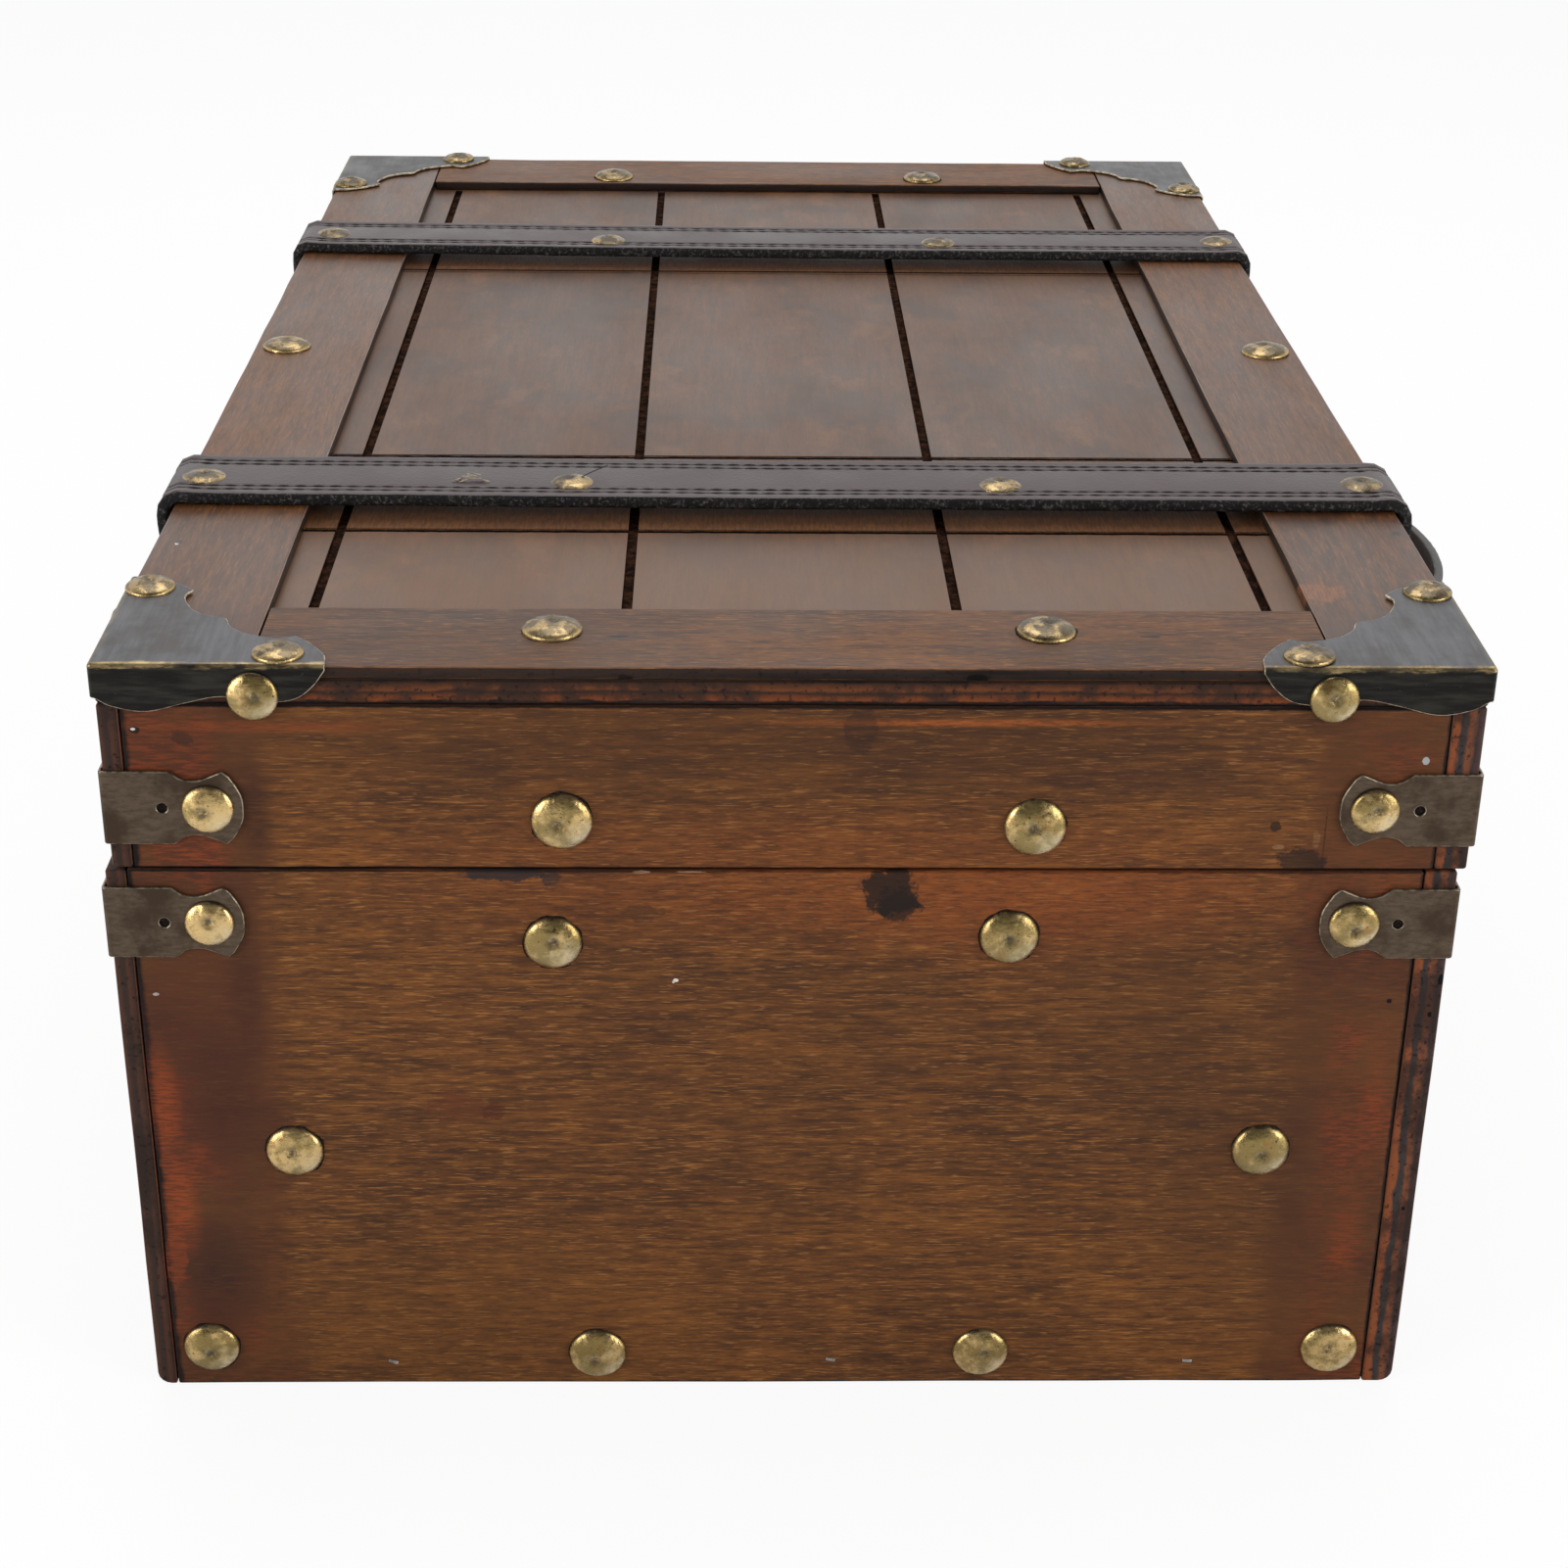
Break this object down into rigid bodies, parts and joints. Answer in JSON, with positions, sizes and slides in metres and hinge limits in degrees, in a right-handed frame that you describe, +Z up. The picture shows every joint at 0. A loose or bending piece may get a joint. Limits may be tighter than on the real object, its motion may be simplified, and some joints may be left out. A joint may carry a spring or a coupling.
{
  "type": "wooden trunk",
  "caption": "Low wooden trunk with a hinged lid, buckled leather straps, metal corner plates, brass studs and a leather carrying handle.",
  "frame": {"origin": "the middle of the underside, which rests on the floor", "axes": "+X along the trunk, -Y towards the front with the handle and buckles, +Z up"},
  "size_m": [0.5138, 0.3902, 0.2127],
  "materials": {
    "stained_wood": "brown stain with a satin wax, darker and redder at the edges",
    "leather": "near-black brown, worn satin, with thick painted edges",
    "antique_brass": "antiqued brass with dark pits and a worn bright rim",
    "dark_metal": "gunmetal grey, brushed, with brass showing along the folds and edges",
    "bronze_metal": "dull olive bronze with bright worn edges"
  },
  "bodies": {
    "base": {"base_front_board": "stained_wood", "base_back_board": "stained_wood", "base_left_board": "stained_wood", "base_right_board": "stained_wood", "base_bottom_board": "stained_wood", "base_bracket_front_left": "bronze_metal", "base_bracket_front_right": "bronze_metal", "base_bracket_back_left": "bronze_metal", "base_bracket_back_right": "bronze_metal", "base_strap_left": "leather", "base_strap_right": "leather", "hinge_base_leaf_left": "bronze_metal", "hinge_base_leaf_right": "bronze_metal", "hinge_pin_left": "bronze_metal", "hinge_pin_right": "bronze_metal", "handle": "leather"},
    "lid": {"lid_front_board": "stained_wood", "lid_back_board": "stained_wood", "lid_left_board": "stained_wood", "lid_right_board": "stained_wood", "lid_top_panel": "stained_wood", "lid_front_stile": "stained_wood", "lid_back_stile": "stained_wood", "lid_left_rail": "stained_wood", "lid_right_rail": "stained_wood", "lid_corner_plate_front_left": "dark_metal", "lid_corner_plate_front_right": "dark_metal", "lid_corner_plate_back_left": "dark_metal", "lid_corner_plate_back_right": "dark_metal", "lid_bracket_front_left": "bronze_metal", "lid_bracket_front_right": "bronze_metal", "lid_bracket_back_left": "bronze_metal", "lid_bracket_back_right": "bronze_metal", "lid_strap_left": "leather", "lid_strap_right": "leather", "hinge_lid_leaf_left": "bronze_metal", "hinge_lid_leaf_right": "bronze_metal", "stud_stile_front": "antique_brass", "stud_stile_back": "antique_brass", "stud_rail_left_front": "antique_brass", "stud_rail_left_back": "antique_brass", "stud_rail_right_front": "antique_brass", "stud_rail_right_back": "antique_brass", "stud_lid_left_front": "antique_brass", "stud_lid_left_back": "antique_brass", "stud_lid_right_front": "antique_brass", "stud_lid_right_back": "antique_brass"},
    "left_strap_end": {"strap_end_left": "leather", "buckle_frame_left": "antique_brass", "strap_keeper_left": "leather"},
    "left_prong": {"buckle_prong_left": "antique_brass"},
    "right_strap_end": {"strap_end_right": "leather", "buckle_frame_right": "antique_brass", "strap_keeper_right": "leather"},
    "right_prong": {"buckle_prong_right": "antique_brass"}
  },
  "joints": [
    {"name": "lid_hinge", "type": "hinge", "parent": "base", "child": "lid", "pos_m": [0, 0.1679, 0.15455], "axis": [-1, 0, 0], "range_deg": [0, 104]},
    {"name": "left_strap_fold", "type": "hinge", "parent": "lid", "child": "left_strap_end", "pos_m": [-0.127, -0.17135, 0.15835], "axis": [-1, 0, 0], "range_deg": [0, 130]},
    {"name": "left_prong_turn", "type": "hinge", "parent": "left_strap_end", "child": "left_prong", "pos_m": [-0.127, -0.16735, 0.10835], "axis": [1, 0, 0], "range_deg": [0, 40]},
    {"name": "right_strap_fold", "type": "hinge", "parent": "lid", "child": "right_strap_end", "pos_m": [0.127, -0.17135, 0.15835], "axis": [-1, 0, 0], "range_deg": [0, 130]},
    {"name": "right_prong_turn", "type": "hinge", "parent": "right_strap_end", "child": "right_prong", "pos_m": [0.127, -0.16735, 0.10835], "axis": [1, 0, 0], "range_deg": [0, 40]}
  ]
}
